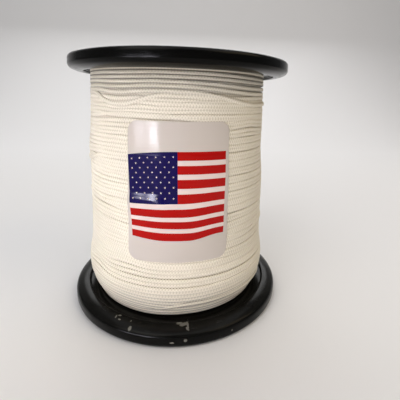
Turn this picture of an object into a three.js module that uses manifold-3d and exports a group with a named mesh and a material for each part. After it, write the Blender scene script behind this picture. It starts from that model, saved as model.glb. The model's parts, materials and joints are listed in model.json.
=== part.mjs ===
/**
 * A reel of braided string: two moulded flanges on a tube, wound full, with a printed film on the winding.
 * Millimetres, +Z up. The reel stands on its lower flange, its axis is Z and its foot is at z = 0.
 * The front, with the film, faces -Y.
 */
import * as THREE from "three";
import { mergeVertices } from "three/addons/utils/BufferGeometryUtils.js";
import Module from "manifold-3d";

// The reel
const reelHeight = 113;
const flangeDiameter = 101.6;
const boreDiameter = 16;

// A flange: a web with a raised rim towards the winding, hollow and ribbed on its outer side
const rimHeight = 6.8;
const rimBand = 6.4;
const rimWall = 3.2;
const lipStep = 1.4;
const webThickness = 2.4;
const footRound = 1.8;
const shoulderWidth = 3.3;
const shoulderDrop = 1.8;
const shoulderOuterRound = 2;
const shoulderInnerRound = 9;
const lipRound = 0.6;
const recessRound = 1;
const ribCount = 8;
const ribThickness = 2;
const ribSetBack = 0.8;
const hubWall = 3.4;
const hubSetBack = 0.4;
const driveHoleDiameter = 8;
const driveHoleOffset = 27;

// The spigot that plugs into the tube, and the sleeve round the bore
const spigotLength = 10;
const spigotWall = 2.2;
const spigotRound = 0.6;
const sleeveWall = 2;

// The tube
const tubeDiameter = 38.1;
const tubeWall = 3.1;

// The string: its outer layer is one unbroken run of turns. The winding bulges low down, draws in at its foot
// and narrows towards the top. A turn lies level round the front and steps up by one at the back.
const windingMiddleRadius = 42.2;
const topTaper = 1.2;
const taperStart = 55;
const bellySwell = 1.6;
const bellyHeight = 19.5;
const bellyWidth = 8;
const footTuck = 2.4;
const footWidth = 4.5;
const turns = 24;
const layerDepth = 2.2;
const turnGap = 0.6;
const turnWander = 0.3;
const wanderWaves = 2;
const wanderShift = 0.5;

// The film on the winding, curved round it
const filmWidth = 41.2;
const filmHeight = 55.8;
const filmRise = 2.9;
const filmThickness = 0.3;
const filmCorner = 4;

// Gaps between pieces that touch
const seatGap = 0.3;
const spigotFit = 0.3;

// How finely the round shapes are cut
const flangeSides = 64;
const tubeSides = 48;
const turnSteps = 24;
const climbSteps = 4;
const innerSteps = 14;
const filmColumns = 12;
const filmRows = 6;
const filmCornerRows = 3;
const cornerStep = Math.PI / 6;

const flangeRadius = flangeDiameter / 2;
const boreRadius = boreDiameter / 2;
const tubeRadius = tubeDiameter / 2;
const lipInnerRadius = flangeRadius - rimBand;
const webInner = rimHeight - lipStep;
const webOuter = webInner - webThickness;
const windingLow = webInner + seatGap;
const windingHigh = reelHeight - webInner - seatGap;
const turnPitch = (windingHigh - windingLow + turnGap) / turns;
const turnHeight = turnPitch - turnGap;

const wasm = await Module();
wasm.setup();

/** A manifold solid from a closed three.js geometry. */
function toSolid(geometry) {
  const bare = geometry.clone();
  bare.deleteAttribute("normal");
  bare.deleteAttribute("uv");
  const merged = mergeVertices(bare, 1e-4);
  const mesh = new wasm.Mesh({
    numProp: 3,
    vertProperties: new Float32Array(merged.attributes.position.array),
    triVerts: new Uint32Array(merged.index.array),
  });
  return new wasm.Manifold(mesh);
}

/** The three.js geometry of a manifold solid. */
function toGeometry(solid) {
  const mesh = solid.getMesh();
  const geometry = new THREE.BufferGeometry();
  geometry.setAttribute("position", new THREE.BufferAttribute(new Float32Array(mesh.vertProperties), 3));
  geometry.setIndex(new THREE.BufferAttribute(new Uint32Array(mesh.triVerts), 1));
  geometry.computeVertexNormals();
  return geometry;
}

/** The points of an arc that rounds the corner at `corner`, between its neighbours. */
function roundCorner(before, corner, after, radius) {
  const toBefore = before.clone().sub(corner).normalize();
  const toAfter = after.clone().sub(corner).normalize();
  const half = Math.acos(THREE.MathUtils.clamp(toBefore.dot(toAfter), -1, 1)) / 2;
  const reach = radius / Math.tan(half);
  const start = corner.clone().addScaledVector(toBefore, reach);
  const end = corner.clone().addScaledVector(toAfter, reach);
  const middle = toBefore.add(toAfter).normalize();
  const centre = corner.clone().addScaledVector(middle, radius / Math.sin(half));
  const sweep = Math.PI - 2 * half;
  const steps = Math.max(2, Math.round(sweep / cornerStep));
  const from = start.sub(centre);
  const turn = Math.sign(from.cross(end.clone().sub(centre)));
  const points = [];
  for (let i = 0; i <= steps; i += 1) {
    const spoke = from.clone().rotateAround(new THREE.Vector2(), (turn * sweep * i) / steps);
    points.push(spoke.add(centre));
  }
  return points;
}

/** A closed outline of [radius, height, corner round] turned about Z. It runs anticlockwise. */
function revolve(outline, sides) {
  const corners = outline.map(([r, z]) => new THREE.Vector2(r, z));
  const points = outline.flatMap(([, , round = 0], i) => {
    const before = corners.at(i - 1);
    const after = corners[(i + 1) % corners.length];
    return round > 0 ? roundCorner(before, corners[i], after, round) : [corners[i].clone()];
  });
  points.push(points[0].clone());
  const geometry = new THREE.LatheGeometry(points, sides);
  return geometry.rotateX(Math.PI / 2);
}

/** The winding's outer radius at a height. */
function windingRadius(z) {
  const bell = (middle, width) => Math.exp(-(((z - middle) / width) ** 2));
  const taper = topTaper * THREE.MathUtils.smoothstep(z, taperStart, windingHigh);
  const belly = bellySwell * bell(bellyHeight, bellyWidth);
  const tuck = footTuck * bell(windingLow, footWidth);
  return windingMiddleRadius - taper + belly - tuck;
}

/** A flange with its outer face down: one moulding of rim, web, ribs, hub and spigot. */
function flangeGeometry() {
  const hubRadius = boreRadius + hubWall;
  const sleeveRadius = boreRadius + sleeveWall;
  const spigotRadius = tubeRadius - tubeWall - spigotFit;
  const spigotInner = spigotRadius - spigotWall;
  const recessRadius = flangeRadius - rimWall;
  const spigotTop = webInner + spigotLength;
  const body = toSolid(
    revolve(
      [
        [boreRadius, hubSetBack],
        [hubRadius, hubSetBack],
        [hubRadius, webOuter],
        [recessRadius, webOuter, recessRound],
        [recessRadius, 0],
        [flangeRadius, 0, footRound],
        [flangeRadius, rimHeight - shoulderDrop, shoulderOuterRound],
        [flangeRadius - shoulderWidth, rimHeight, shoulderInnerRound],
        [lipInnerRadius, rimHeight, lipRound],
        [lipInnerRadius, webInner],
        [spigotRadius, webInner],
        [spigotRadius, spigotTop, spigotRound],
        [spigotInner, spigotTop],
        [spigotInner, webInner],
        [sleeveRadius, webInner],
        [sleeveRadius, spigotTop],
        [boreRadius, spigotTop],
      ],
      flangeSides,
    ),
  );
  const ribLength = recessRadius + rimWall / 2 - (boreRadius + hubWall / 2);
  const ribHeight = webOuter + webThickness / 2 - ribSetBack;
  let moulding = body;
  for (let i = 0; i < ribCount; i += 1) {
    const rib = new THREE.BoxGeometry(ribLength, ribThickness, ribHeight);
    rib.translate(boreRadius + hubWall / 2 + ribLength / 2, 0, ribSetBack + ribHeight / 2);
    rib.rotateZ(((i + 0.5) * 2 * Math.PI) / ribCount);
    moulding = moulding.add(toSolid(rib));
  }
  const drill = new THREE.CylinderGeometry(driveHoleDiameter / 2, driveHoleDiameter / 2, 4 * rimHeight, 20);
  drill.rotateX(Math.PI / 2);
  drill.translate(driveHoleOffset, 0, 0);
  return toGeometry(moulding.subtract(toSolid(drill)));
}

/** The tube between the two webs. */
function tubeGeometry() {
  const inner = tubeRadius - tubeWall;
  return revolve(
    [
      [inner, windingLow],
      [tubeRadius, windingLow],
      [tubeRadius, windingHigh],
      [inner, windingHigh],
    ],
    tubeSides,
  );
}

/** How far the outer layer reaches in near a height: its chords cut a little inside its corners. */
function layerInnerRadius(z) {
  const nearby = [z - turnHeight, z, z + turnHeight].map(windingRadius);
  return (Math.min(...nearby) - layerDepth) * Math.cos(Math.PI / turnSteps);
}

/** The string under the outer layer: a plain ring round the tube. */
function innerLayersGeometry() {
  const inner = (tubeRadius + seatGap) / Math.cos(Math.PI / flangeSides);
  const outline = [[inner, windingLow]];
  for (let step = 0; step <= innerSteps; step += 1) {
    const z = THREE.MathUtils.lerp(windingLow, windingHigh, step / innerSteps);
    outline.push([layerInnerRadius(z) - seatGap, z]);
  }
  outline.push([inner, windingHigh]);
  return revolve(outline, flangeSides);
}

/**
 * A closed solid skinned over section rings that all have the same even number of points.
 * Each section runs out along one side and back along the other, so its ends are closed like a ladder.
 */
function skin(rings) {
  const sides = rings[0].length;
  const positions = rings.flat().flatMap((point) => point.toArray());
  const faces = [];
  for (let ring = 0; ring + 1 < rings.length; ring += 1) {
    for (let side = 0; side < sides; side += 1) {
      const a = ring * sides + side;
      const b = ring * sides + ((side + 1) % sides);
      faces.push(a, a + sides, b, b, a + sides, b + sides);
    }
  }
  const last = (rings.length - 1) * sides;
  for (let side = 0; side + 1 < sides / 2; side += 1) {
    const far = sides - 1 - side;
    faces.push(side, side + 1, far - 1, side, far - 1, far);
    faces.push(last + side, last + far - 1, last + side + 1, last + side, last + far, last + far - 1);
  }
  const geometry = new THREE.BufferGeometry();
  geometry.setAttribute("position", new THREE.Float32BufferAttribute(positions, 3));
  geometry.setIndex(faces);
  geometry.computeVertexNormals();
  return geometry;
}

/** The six-sided section rings of the outer layer, from the lower end of the string to its upper end. */
function layerRings() {
  const climbShare = climbSteps / turnSteps;
  const startAngle = Math.PI / 2 + climbShare * Math.PI;
  const section = [
    [0.5, -0.25],
    [0.5, 0.25],
    [0, 0.5],
    [-0.5, 0.25],
    [-0.5, -0.25],
    [0, -0.5],
  ];
  const steps = turns * turnSteps - climbSteps;
  const rings = [];
  const ringAt = (angle, z, straight) => {
    const outward = new THREE.Vector3(Math.cos(angle), Math.sin(angle), 0);
    const along = new THREE.Vector3(-Math.sin(angle), Math.cos(angle), 0).multiplyScalar(straight);
    const radius = windingRadius(z) - layerDepth / 2;
    return section.map(([out, up]) => {
      const point = outward.clone().multiplyScalar(radius + out * layerDepth).add(along);
      point.z = z + up * turnHeight;
      return point;
    });
  };
  const angleAt = (step) => startAngle + (step / turnSteps) * 2 * Math.PI;
  const heightAt = (step) => {
    const turn = Math.floor(step / turnSteps);
    const climb = THREE.MathUtils.smoothstep(step / turnSteps - turn, 1 - climbShare, 1);
    const wave = Math.sin(wanderWaves * angleAt(step) + (wanderShift * step) / turnSteps);
    const wander = turnWander * wave * Math.sin((Math.PI * step) / steps);
    return windingLow + turnHeight / 2 + (turn + climb) * turnPitch + wander;
  };
  rings.push(ringAt(angleAt(0), heightAt(0), -layerDepth));
  for (let step = 0; step <= steps; step += 1) {
    rings.push(ringAt(angleAt(step), heightAt(step), 0));
  }
  rings.push(ringAt(angleAt(steps), heightAt(steps), layerDepth));
  return rings;
}

/** The least distance from the points of one turn to those of the next. */
function leastTurnGap(rings) {
  let least = Infinity;
  for (let i = 0; i + turnSteps < rings.length; i += 1) {
    for (let near = -1; near <= 1; near += 1) {
      const other = rings[i + turnSteps + near] ?? [];
      for (const a of rings[i]) {
        for (const b of other) {
          least = Math.min(least, a.distanceTo(b));
        }
      }
    }
  }
  return least;
}

/** The outer layer as one tube. */
function outerLayerGeometry() {
  const rings = layerRings();
  console.log(`least gap between turns: ${leastTurnGap(rings).toFixed(2)} mm`);
  return skin(rings);
}

/** The heights of the film's rows above its middle, each with half the film's width there. */
function filmRowSizes() {
  const corner = [];
  for (let step = 0; step <= filmCornerRows; step += 1) {
    const angle = (step / filmCornerRows) * (Math.PI / 2);
    const above = filmHeight / 2 - filmCorner + filmCorner * Math.sin(angle);
    corner.push([above, filmWidth / 2 - filmCorner + filmCorner * Math.cos(angle)]);
  }
  const straight = filmHeight / 2 - filmCorner;
  const rows = corner.map(([above, half]) => [-above, half]).reverse();
  for (let row = 1; row < filmRows; row += 1) {
    rows.push([THREE.MathUtils.lerp(-straight, straight, row / filmRows), filmWidth / 2]);
  }
  return rows.concat(corner);
}

/** The film: a thin plate with round corners, curved round the front and following the winding. */
function filmGeometry() {
  const centreZ = reelHeight / 2 + filmRise;
  const around = windingRadius(centreZ) + seatGap;
  const front = -Math.PI / 2;
  const rings = filmRowSizes().map(([above, half]) => {
    const z = centreZ + above;
    const inner = windingRadius(z) + seatGap;
    const row = (radius, direction) => {
      const points = [];
      for (let column = 0; column <= filmColumns; column += 1) {
        const angle = front + (direction * half * (1 - (2 * column) / filmColumns)) / around;
        points.push(new THREE.Vector3(radius * Math.cos(angle), radius * Math.sin(angle), z));
      }
      return points;
    };
    return [...row(inner + filmThickness, 1), ...row(inner, -1)];
  });
  return skin(rings);
}

const blackPlastic = { color: 0x1b1b1a, roughness: 0.22, metalness: 0 };
const greyBoard = { color: 0x9a8d78, roughness: 0.9, metalness: 0 };
const whiteString = { color: 0xeee6d2, roughness: 0.75, metalness: 0 };
const clearFilm = { color: 0xdcd2d8, roughness: 0.15, metalness: 0 };

/** A named mesh with a material of its own. */
function piece(name, geometry, finish) {
  const mesh = new THREE.Mesh(geometry, new THREE.MeshStandardMaterial(finish));
  mesh.name = name;
  return mesh;
}

const reel = new THREE.Group();

const lowerFlange = piece("lower_flange", flangeGeometry(), blackPlastic);
reel.add(lowerFlange);

const upperFlange = piece("upper_flange", flangeGeometry(), blackPlastic);
upperFlange.rotation.x = Math.PI;
upperFlange.position.z = reelHeight;
reel.add(upperFlange);

reel.add(piece("core_tube", tubeGeometry(), greyBoard));
reel.add(piece("string_inner_layers", innerLayersGeometry(), whiteString));
reel.add(piece("string_outer_layer", outerLayerGeometry(), whiteString));
reel.add(piece("label_film", filmGeometry(), clearFilm));

export default reel;
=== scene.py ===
"""A reel of braided white string: black moulded flanges, a full winding and a glossy printed film in front.

The reel stands on its lower flange with its axis on Z. Sizes are in millimetres, and a mesh is turned to
metres when it becomes a piece. An azimuth is in degrees about Z from the front (-Y), and grows to the right.
"""

import json
import logging
import math
from collections.abc import Callable
from dataclasses import dataclass, field
from enum import Enum
from functools import partial

import bmesh
import bpy
from mathutils import Matrix, Vector

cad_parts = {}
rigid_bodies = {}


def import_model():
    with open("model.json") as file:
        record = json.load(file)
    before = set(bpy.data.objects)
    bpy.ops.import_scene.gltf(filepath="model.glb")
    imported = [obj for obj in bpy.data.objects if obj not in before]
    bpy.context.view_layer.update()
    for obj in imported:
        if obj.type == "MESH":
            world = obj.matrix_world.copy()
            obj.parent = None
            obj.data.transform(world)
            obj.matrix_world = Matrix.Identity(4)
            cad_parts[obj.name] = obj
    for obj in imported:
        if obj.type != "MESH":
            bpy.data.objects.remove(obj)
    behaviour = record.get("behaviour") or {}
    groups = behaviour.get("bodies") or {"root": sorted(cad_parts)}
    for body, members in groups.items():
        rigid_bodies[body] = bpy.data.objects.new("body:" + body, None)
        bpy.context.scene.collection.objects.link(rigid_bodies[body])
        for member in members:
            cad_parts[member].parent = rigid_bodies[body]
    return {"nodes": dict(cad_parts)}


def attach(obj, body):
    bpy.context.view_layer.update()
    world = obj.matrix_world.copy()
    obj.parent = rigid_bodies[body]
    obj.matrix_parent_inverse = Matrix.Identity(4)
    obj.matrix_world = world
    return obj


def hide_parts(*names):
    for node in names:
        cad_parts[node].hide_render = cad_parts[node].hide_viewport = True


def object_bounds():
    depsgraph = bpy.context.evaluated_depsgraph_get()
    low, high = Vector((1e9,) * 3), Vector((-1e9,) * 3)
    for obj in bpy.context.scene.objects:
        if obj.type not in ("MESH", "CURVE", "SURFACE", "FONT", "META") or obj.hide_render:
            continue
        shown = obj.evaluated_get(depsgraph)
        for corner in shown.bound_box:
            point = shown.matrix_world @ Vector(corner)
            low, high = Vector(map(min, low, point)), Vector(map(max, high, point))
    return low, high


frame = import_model()
cad_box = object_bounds()

log = logging.getLogger("string_reel")

Socket = bpy.types.NodeSocket
AddNode = Callable[..., Socket]

MM = 0.001
FLAG_HEIGHT = 35.54
# A wave texture of scale 1 has a band in about every 0.314 of its own units.
WAVE_BAND = 0.314
BODY = "root"
PHOTO_PIXELS = 400
SENSOR_MM = 36.0


class Slot(Enum):
    """The record's material slots."""

    PLASTIC = "black_plastic"
    STRING = "white_string"
    FILM = "printed_film"


class Side(Enum):
    """Which end of the reel a flange closes."""

    LOWER = "lower"
    UPPER = "upper"


# ---------- Small helpers ----------


def linear(code: str) -> tuple[float, float, float, float]:
    """Turns an sRGB hex colour to linear RGBA.

    Args:
        code: The colour, such as "#1b1b1a".

    Returns:
        Linear red, green, blue and an alpha of 1.
    """
    channels = [int(code[i:i + 2], 16) / 255 for i in (1, 3, 5)]
    red, green, blue = [c / 12.92 if c <= 0.04045 else ((c + 0.055) / 1.055) ** 2.4 for c in channels]
    return (red, green, blue, 1.0)


def smoothstep(low: float, high: float, value: float) -> float:
    """Eases from 0 at low to 1 at high.

    Args:
        low: Where the step starts.
        high: Where it ends.
        value: Where to read it.

    Returns:
        A share from 0 to 1.
    """
    share = min(max((value - low) / (high - low), 0.0), 1.0)
    return share * share * (3 - 2 * share)


def bell(distance: float, width: float) -> float:
    """A bell curve, 1 at no distance and 0.37 at its width."""
    return math.exp(-((distance / width) ** 2))


def wrap(degrees: float) -> float:
    """The same azimuth between -180 and 180 degrees."""
    return (degrees + 180) % 360 - 180


def on_drum(radius: float, azimuth: float, height: float) -> Vector:
    """The point at a radius, an azimuth in degrees and a height, in the units of the radius."""
    angle = math.radians(azimuth)
    return Vector((radius * math.sin(angle), -radius * math.cos(angle), height))


def set_inputs(node: bpy.types.Node, inputs: dict[str | int, object]) -> None:
    """Sets a node's inputs.

    Args:
        node: The node.
        inputs: For each input, its value or the output socket that feeds it.
    """
    for key, value in inputs.items():
        if isinstance(value, Socket):
            node.id_data.links.new(value, node.inputs[key])
        else:
            node.inputs[key].default_value = value


def add_node(
    tree: bpy.types.NodeTree,
    kind: str,
    inputs: dict[str | int, object] | None = None,
    output: str | None = None,
    **settings: object,
) -> Socket:
    """Adds a shader node with its settings and links.

    Args:
        tree: The node tree that it joins.
        kind: The node's type, such as "Math".
        inputs: For each input, its value or the output socket that feeds it.
        output: The output that is wanted, or None for the first one in use.
        settings: The node's own settings, such as operation.

    Returns:
        The new node's output.
    """
    node = tree.nodes.new(f"ShaderNode{kind}")
    for name, value in settings.items():
        setattr(node, name, value)
    set_inputs(node, inputs or {})
    if output is not None:
        return node.outputs[output]
    return next(socket for socket in node.outputs if socket.enabled)


def span(value: Socket, before: tuple[float, float], after: tuple[float, float]) -> dict[str, object]:
    """The inputs of a range change, from two values before to the two that they become."""
    low, high = after
    return {"Value": value, "From Min": before[0], "From Max": before[1], "To Min": low, "To Max": high}


def grain(place: Socket, size: float, detail: float, roughness: float = 0.5) -> dict[str, object]:
    """The inputs of noise on a place in metres whose lumps have a real size in mm."""
    return {"Vector": place, "Scale": 1 / (size * MM), "Detail": detail, "Roughness": roughness}


def blend(share: Socket, first: object, second: object) -> dict[str, object]:
    """The inputs of a mix of two colours, each a socket or a hex code, by the second one's share."""
    first, second = (linear(colour) if isinstance(colour, str) else colour for colour in (first, second))
    return {"Factor": share, "A": first, "B": second}


def new_material(
    name: str, constants: dict[str, object]
) -> tuple[bpy.types.Material, bpy.types.Node, AddNode]:
    """Starts a material with a Principled shader.

    Args:
        name: The finish's name.
        constants: The shader's inputs that are the same all over the surface.

    Returns:
        The material, its shader and the function that adds a node to it.
    """
    material = bpy.data.materials.new(name)
    material.use_nodes = True
    shader = material.node_tree.nodes["Principled BSDF"]
    set_inputs(shader, constants)
    return material, shader, partial(add_node, material.node_tree)


def new_object(name: str, data: bpy.types.ID) -> bpy.types.Object:
    """Puts an object with the given mesh, curve, light or camera into the scene."""
    made = bpy.data.objects.new(name, data)
    bpy.context.scene.collection.objects.link(made)
    return made


def new_mesh(name: str, bm: bmesh.types.BMesh) -> bpy.types.Mesh:
    """Turns a bmesh to a mesh of its own."""
    mesh = bpy.data.meshes.new(name)
    bm.to_mesh(mesh)
    return mesh


def take_result(bm: bmesh.types.BMesh, source: bpy.types.Object, helpers: list[bpy.types.Object]) -> None:
    """Reads the finished shape of a helper object, with its modifiers or its bevel, and clears up.

    Args:
        bm: Takes the shape, and loses what it held.
        source: The object whose shape is read.
        helpers: The objects that are no longer needed, the source among them.
    """
    graph = bpy.context.evaluated_depsgraph_get()
    result = bpy.data.meshes.new_from_object(source.evaluated_get(graph), depsgraph=graph)
    bm.clear()
    bm.from_mesh(result)
    bpy.data.batch_remove([result, *helpers, *(helper.data for helper in helpers)])


def make_piece(
    name: str, bm: bmesh.types.BMesh, material: bpy.types.Material
) -> bpy.types.Object:
    """Turns a bmesh in millimetres to a piece in metres that rides on the reel.

    Args:
        name: The piece's name.
        bm: The shape, which is freed.
        material: Its finish.

    Returns:
        The piece's object, at the origin.
    """
    bmesh.ops.scale(bm, vec=(MM, MM, MM), verts=bm.verts)
    mesh = new_mesh(name, bm)
    bm.free()
    piece = new_object(name, mesh)
    mesh.materials.append(material)
    mesh.shade_smooth()
    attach(piece, BODY)
    log.info("%s: %d faces", name, len(mesh.polygons))
    return piece


def close_mesh(bm: bmesh.types.BMesh, distance: float = 1e-4) -> None:
    """Merges doubled points and turns every face outwards.

    Args:
        bm: A closed shape.
        distance: Points nearer than this are one.
    """
    bmesh.ops.remove_doubles(bm, verts=bm.verts, dist=distance)
    bmesh.ops.recalc_face_normals(bm, faces=bm.faces)


def round_off(
    bm: bmesh.types.BMesh, geom: list, offset: float, segments: int, affect: str
) -> list[bmesh.types.BMVert]:
    """Rounds corners or edges.

    Args:
        bm: The shape.
        geom: The corners or edges.
        offset: How far from each the round starts.
        segments: How finely it is cut.
        affect: "VERTICES" for corners in a flat outline, or "EDGES".

    Returns:
        The new points.
    """
    made = bmesh.ops.bevel(
        bm,
        geom=geom,
        offset=offset,
        offset_type="OFFSET",
        affect=affect,
        segments=segments,
        profile=0.5,
        material=-1,
    )
    return made["verts"]


def spin_round(bm: bmesh.types.BMesh, steps: int) -> None:
    """Spins an outline in the XZ plane round Z to a closed shape.

    Args:
        bm: The outline's points and edges.
        steps: How many sides the shape has.
    """
    outline = bm.verts[:] + bm.edges[:]
    turn = 2 * math.pi
    bmesh.ops.spin(bm, geom=outline, cent=(0, 0, 0), axis=(0, 0, 1), angle=turn, steps=steps, use_merge=True)
    close_mesh(bm)


# ---------- Finishes ----------


@dataclass(frozen=True)
class Scuff:
    """A rubbed or dusty spot on a flange.

    Attributes:
        azimuth: Where it is round the reel, in degrees.
        radius: Its distance from the axis in mm.
        height: Its height in mm.
        along: Half its length round the reel in mm.
        across: Half its breadth towards the rim in mm.
        lean: How far it is turned, in degrees.
    """

    azimuth: float
    radius: float
    height: float
    along: float
    across: float
    lean: float = 0.0


@dataclass(frozen=True)
class MouldedPolystyrene:
    """High-impact polystyrene, injection moulded in a polished tool.

    To the eye: near black and glossy, with soft edges, a faint waviness from the mould, a haze of fine rub
    marks that runs round the rim, and pale grey scuffs and dusting where the reel was handled. The pale grey
    dusting on the faces that look up is also painted sheen, a stand-in for the grazing reflections they
    catch.
    Sizes are in mm.
    """

    colour: str = "#070706"
    # Pale grey of the scuffs and of the dusting, which on faces that look up is also painted sheen.
    dust: str = "#77756c"
    specular: float = 0.09
    roughness: tuple[float, float] = (0.14, 0.28)
    worn_roughness: float = 0.3
    dust_slope: tuple[float, float] = (0.3, 0.95)
    dust_cover: float = 0.04
    dust_patch: float = 18.0
    dust_breaks: tuple[float, float] = (0.35, 0.65)
    dust_thinness: float = 0.25
    rub_spacing: float = 0.7
    rub_stretch: float = 3.0
    rub_depth: float = 0.03
    rub_strength: float = 0.12
    haze_size: float = 9.0
    haze_range: tuple[float, float] = (0.18, 0.4)
    wave_size: float = 16.0
    wave_depth: float = 0.4
    wave_strength: float = 0.25
    scuff_cover: float = 0.85
    scuff_raggedness: float = 1.1
    scuff_edge: tuple[float, float] = (1.25, 1.65)
    scuffs: tuple[Scuff, ...] = (
        Scuff(-32.3, 47.0, 6.6, 0.35, 0.9, 12),
        Scuff(-31.0, 46.0, 6.7, 0.8, 0.35, 20),
        Scuff(-29.6, 47.6, 6.4, 0.7, 0.35),
        Scuff(-22.2, 49.6, 5.7, 0.7, 1.0),
        Scuff(-23.5, 46.7, 6.6, 0.3, 0.35),
        Scuff(1.0, 45.2, 6.8, 1.4, 0.8),
        Scuff(3.1, 46.0, 6.7, 1.8, 0.9, 18),
        Scuff(5.0, 46.2, 6.7, 0.45, 2.8, 4),
        Scuff(5.9, 42.6, 6.8, 0.14, 1.7, 4),
        Scuff(4.6, 47.9, 6.3, 0.5, 0.8, 20),
        Scuff(3.6, 50.8, 3.4, 0.7, 0.7),
        Scuff(-2.3, 50.8, 2.6, 0.9, 0.4),
        Scuff(26.0, 50.8, 3.0, 0.4, 0.35),
    )

    def material(self) -> bpy.types.Material:
        """The finish as a material."""
        constants = {"IOR": 1.57, "Specular IOR Level": self.specular}
        material, shader, add = new_material("polystyrene_gloss_moulded", constants)
        place = add("TexCoord", output="Object")
        rubs = self.rub_marks(add, place)
        # Scuffs, and the dusting on faces that look up, whose pale grey is also painted sheen.
        worn = add(
            "Math",
            {0: self.scuff_mask(add, place, rubs), 1: self.settled_dust(add, place)},
            operation="MAXIMUM",
        )
        haze = add("TexNoise", grain(place, self.haze_size, 6.0, 0.65))
        mixed = add("Math", {0: haze, 1: rubs}, operation="MULTIPLY")
        gloss = add("MapRange", span(mixed, self.haze_range, self.roughness))
        wave = add("TexNoise", grain(place, self.wave_size, 1.0))
        swelling = {"Height": wave, "Strength": self.wave_strength, "Distance": self.wave_depth * MM}
        marks = {"Height": rubs, "Strength": self.rub_strength, "Distance": self.rub_depth * MM}
        looks = {
            "Base Color": add("Mix", blend(worn, self.colour, self.dust), data_type="RGBA"),
            "Roughness": add("Math", {0: worn, 1: self.worn_roughness, 2: gloss}, operation="MULTIPLY_ADD"),
            "Normal": add("Bump", marks | {"Normal": add("Bump", swelling)}),
        }
        set_inputs(shader, looks)
        return material

    def rub_marks(self, add: AddNode, place: Socket) -> Socket:
        """Adds fine noise that runs round the rim: it is read by radius, height and a shortened turn.

        Args:
            add: Adds a node to the material.
            place: Object coordinates.

        Returns:
            The noise, 0 to 1.
        """
        x, y, z = add("SeparateXYZ", {0: place}).node.outputs
        flat = add("VectorMath", {0: place, 1: (1, 1, 0)}, operation="MULTIPLY")
        radius = add("VectorMath", {0: flat}, operation="LENGTH")
        turn = add("Math", {0: y, 1: x}, operation="ARCTAN2")
        slow_turn = add("Math", {0: turn, 1: self.rub_stretch * MM}, operation="MULTIPLY")
        unrolled = add("CombineXYZ", {0: radius, 1: slow_turn, 2: z})
        return add("TexNoise", grain(unrolled, self.rub_spacing, 3.0, 0.7))

    def settled_dust(self, add: AddNode, place: Socket) -> Socket:
        """Adds a dusting in patches on the faces that look up, whose pale grey also paints the sheen these
        faces catch.

        Args:
            add: Adds a node to the material.
            place: Object coordinates.

        Returns:
            The share of the surface that it covers.
        """
        facing = add("TexCoord", output="Normal")
        upward = add("SeparateXYZ", {0: facing}, output="Z")
        level = add("MapRange", span(upward, self.dust_slope, (0.0, self.dust_cover)))
        patches = add("TexNoise", grain(place, self.dust_patch, 8.0, 0.7))
        cover = add("MapRange", span(patches, self.dust_breaks, (self.dust_thinness, 1.0)))
        return add("Math", {0: level, 1: cover}, operation="MULTIPLY")

    def scuff_mask(self, add: AddNode, place: Socket, rubs: Socket) -> Socket:
        """Adds the scuffs.

        Args:
            add: Adds a node to the material.
            place: Object coordinates.
            rubs: The fine rub marks, which break the scuffs' edges up.

        Returns:
            The output that is high on a scuff and 0 off it.
        """
        nearest: Socket | None = None
        for scuff in self.scuffs:
            spot = add(
                "Mapping",
                {
                    "Vector": place,
                    "Location": on_drum(scuff.radius * MM, scuff.azimuth, scuff.height * MM),
                    "Rotation": (0, 0, math.radians(scuff.azimuth + scuff.lean)),
                    "Scale": (scuff.along * MM, scuff.across * MM, scuff.across * MM),
                },
                vector_type="TEXTURE",
            )
            reach = add("VectorMath", {0: spot}, operation="LENGTH")
            if nearest is not None:
                reach = add("Math", {0: nearest, 1: reach}, operation="MINIMUM")
            nearest = reach
        ragged = add("Math", {0: rubs, 1: self.scuff_raggedness, 2: nearest}, operation="MULTIPLY_ADD")
        return add("MapRange", span(ragged, self.scuff_edge, (self.scuff_cover, 0.0)))


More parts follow.
